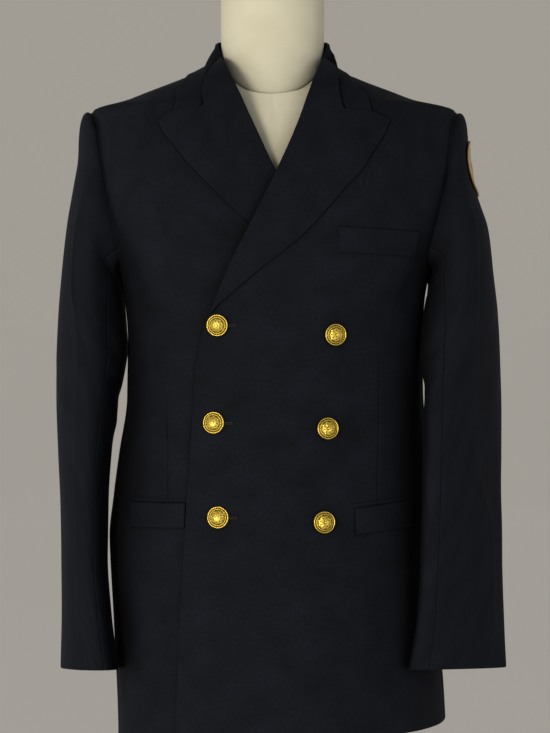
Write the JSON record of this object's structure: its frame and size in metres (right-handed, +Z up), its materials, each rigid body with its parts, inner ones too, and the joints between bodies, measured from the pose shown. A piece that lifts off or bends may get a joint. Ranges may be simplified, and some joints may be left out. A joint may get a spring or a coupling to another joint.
{
  "type": "double-breasted dress tunic on a limbless dress form",
  "caption": "Peak-lapel, double-breasted dress coat in dark navy wool with gilt buttons, worn by a limbless dress form on a short pole and a round foot.",
  "frame": {"origin": "middle of the underside of the form's round foot", "axes": "+Z up, the coat faces -Y, its wearer's left is +X"},
  "size_m": [0.5022, 0.33, 1.0624],
  "materials": {
    "navy_wool": "matt wool twill, soft sheen",
    "gilt_brass": "bright gilt",
    "amber_embroidery": "embroidered",
    "cream_form_cloth": "plain cotton",
    "black_painted_steel": "satin paint"
  },
  "bodies": {
    "root": {"back_left": "navy_wool", "back_right": "navy_wool", "side_left": "navy_wool", "side_right": "navy_wool", "front_left": "navy_wool", "front_right": "navy_wool", "lapel_left": "navy_wool", "lapel_right": "navy_wool", "collar": "navy_wool", "sleeve_top_left": "navy_wool", "sleeve_top_right": "navy_wool", "sleeve_under_left": "navy_wool", "sleeve_under_right": "navy_wool", "flap_left": "navy_wool", "flap_right": "navy_wool", "chest_welt": "navy_wool", "button_1": "gilt_brass", "button_2": "gilt_brass", "button_3": "gilt_brass", "button_4": "gilt_brass", "button_5": "gilt_brass", "button_6": "gilt_brass", "shoulder_patch": "amber_embroidery", "form_torso": "cream_form_cloth", "form_neck": "cream_form_cloth", "form_pole": "black_painted_steel", "form_base": "black_painted_steel"}
  },
  "joints": []
}
